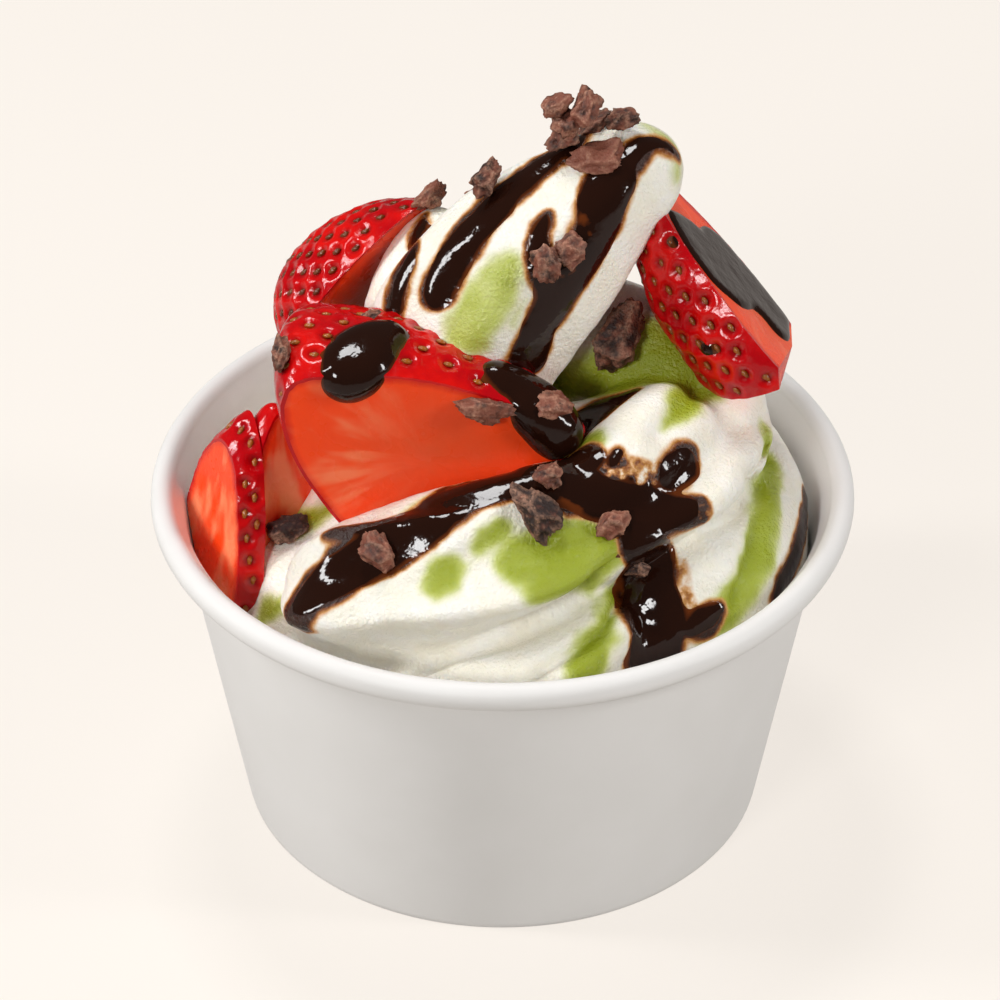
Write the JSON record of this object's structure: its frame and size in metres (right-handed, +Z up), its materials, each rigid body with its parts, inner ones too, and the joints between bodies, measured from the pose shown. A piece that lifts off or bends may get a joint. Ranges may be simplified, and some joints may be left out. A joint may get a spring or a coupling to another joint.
{
  "type": "soft serve sundae",
  "caption": "Soft serve sundae in a round white paper cup: a fluted swirl with a leaning peak, cut strawberries, chocolate sauce and cacao nibs.",
  "frame": {"origin": "under the middle of the cup, on the surface that it stands on", "axes": "+Z up along the cup's axis, -Y towards the side the sundae is served and shown from, +X to the right of that view"},
  "size_m": [0.0958, 0.0958, 0.1046],
  "materials": {
    "paper": "satin coated paper board",
    "soft_serve": "moist, fine grained",
    "strawberry": "moist skin and cut flesh",
    "chocolate_sauce": "wet gloss",
    "cacao_nibs": "rough broken bean"
  },
  "bodies": {
    "root": {"paper_cup": "paper", "soft_serve": "soft_serve", "strawberry_front": "strawberry", "strawberry_back": "strawberry", "strawberry_right": "strawberry", "strawberry_left_slice": "strawberry", "strawberry_left_half": "strawberry"}
  },
  "joints": []
}
